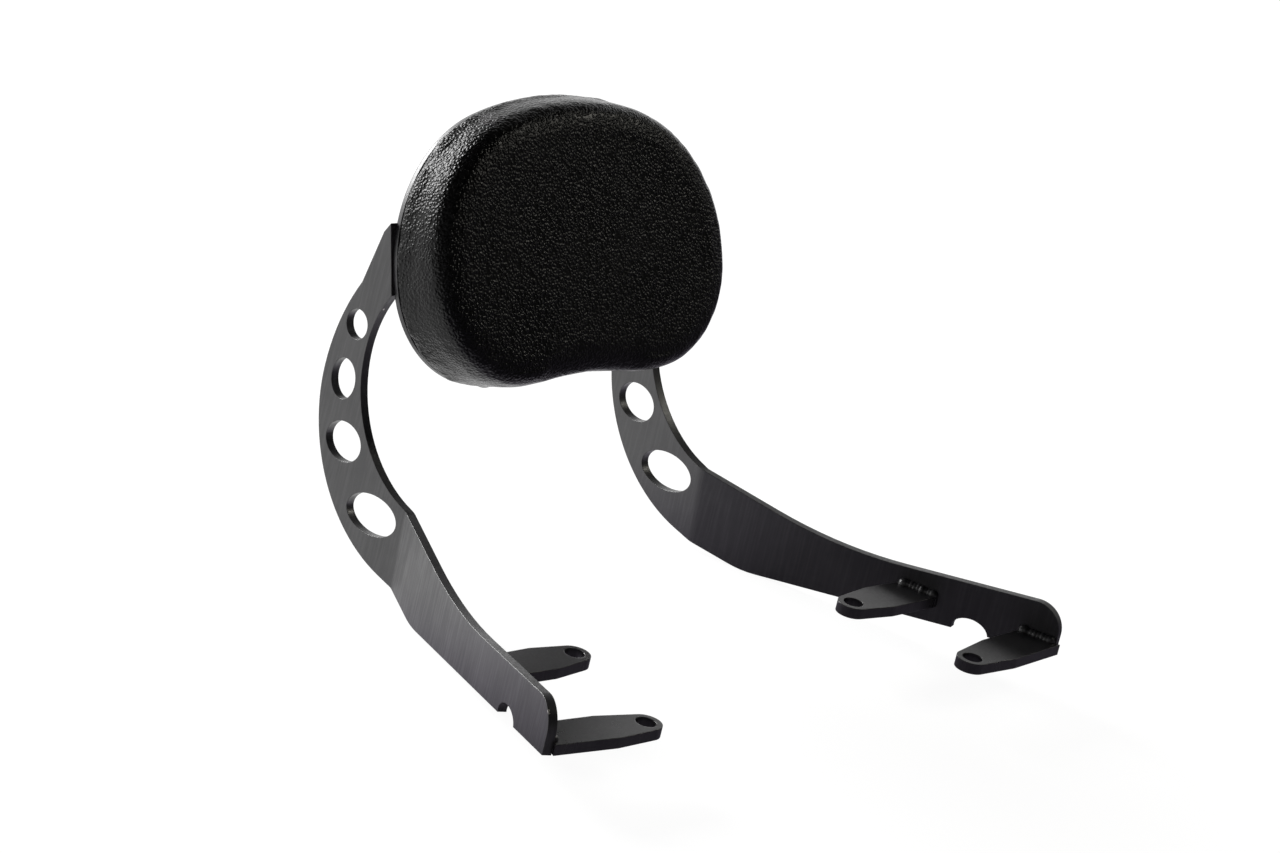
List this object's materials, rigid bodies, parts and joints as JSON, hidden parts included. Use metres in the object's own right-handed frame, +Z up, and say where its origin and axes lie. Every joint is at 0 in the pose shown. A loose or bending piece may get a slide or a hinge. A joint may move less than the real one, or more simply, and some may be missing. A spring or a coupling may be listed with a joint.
{
  "type": "motorcycle backrest",
  "caption": "Passenger backrest for a motorcycle: a padded D-shaped back on two bent steel side plates with lightening holes and bolt-on tabs.",
  "frame": {"origin": "midway between the two front bolt holes, in the plane of the tabs' undersides", "axes": "+Z up, -Y the riding direction, +X the rider's right; the object is symmetric about X = 0"},
  "size_m": [0.3854, 0.3007, 0.249],
  "materials": {
    "powder_coated_steel": "satin black powder coat",
    "coated_weld": "satin black powder coat over a rippled bead",
    "zinc_plated_steel": "bright zinc plate",
    "staple_wire": "galvanised wire",
    "plywood": "raw plywood",
    "moulded_foam": "moulded polyurethane foam",
    "black_leatherette": "glossy pebbled leatherette"
  },
  "bodies": {
    "root": {"side_plate_left": "powder_coated_steel", "side_plate_right": "powder_coated_steel", "front_tab_left": "powder_coated_steel", "front_tab_right": "powder_coated_steel", "rear_tab_left": "powder_coated_steel", "rear_tab_right": "powder_coated_steel", "back_plate": "powder_coated_steel", "front_tab_weld_left": "coated_weld", "front_tab_weld_right": "coated_weld", "rear_tab_weld_left": "coated_weld", "rear_tab_weld_right": "coated_weld", "arm_weld_left": "coated_weld", "arm_weld_right": "coated_weld", "pad_bolts": "zinc_plated_steel", "spring_washers": "zinc_plated_steel", "flat_washers": "zinc_plated_steel", "t_nuts": "zinc_plated_steel", "cover_staples": "staple_wire", "pad_base_board": "plywood", "pad_foam": "moulded_foam", "pad_cover": "black_leatherette"}
  },
  "joints": []
}
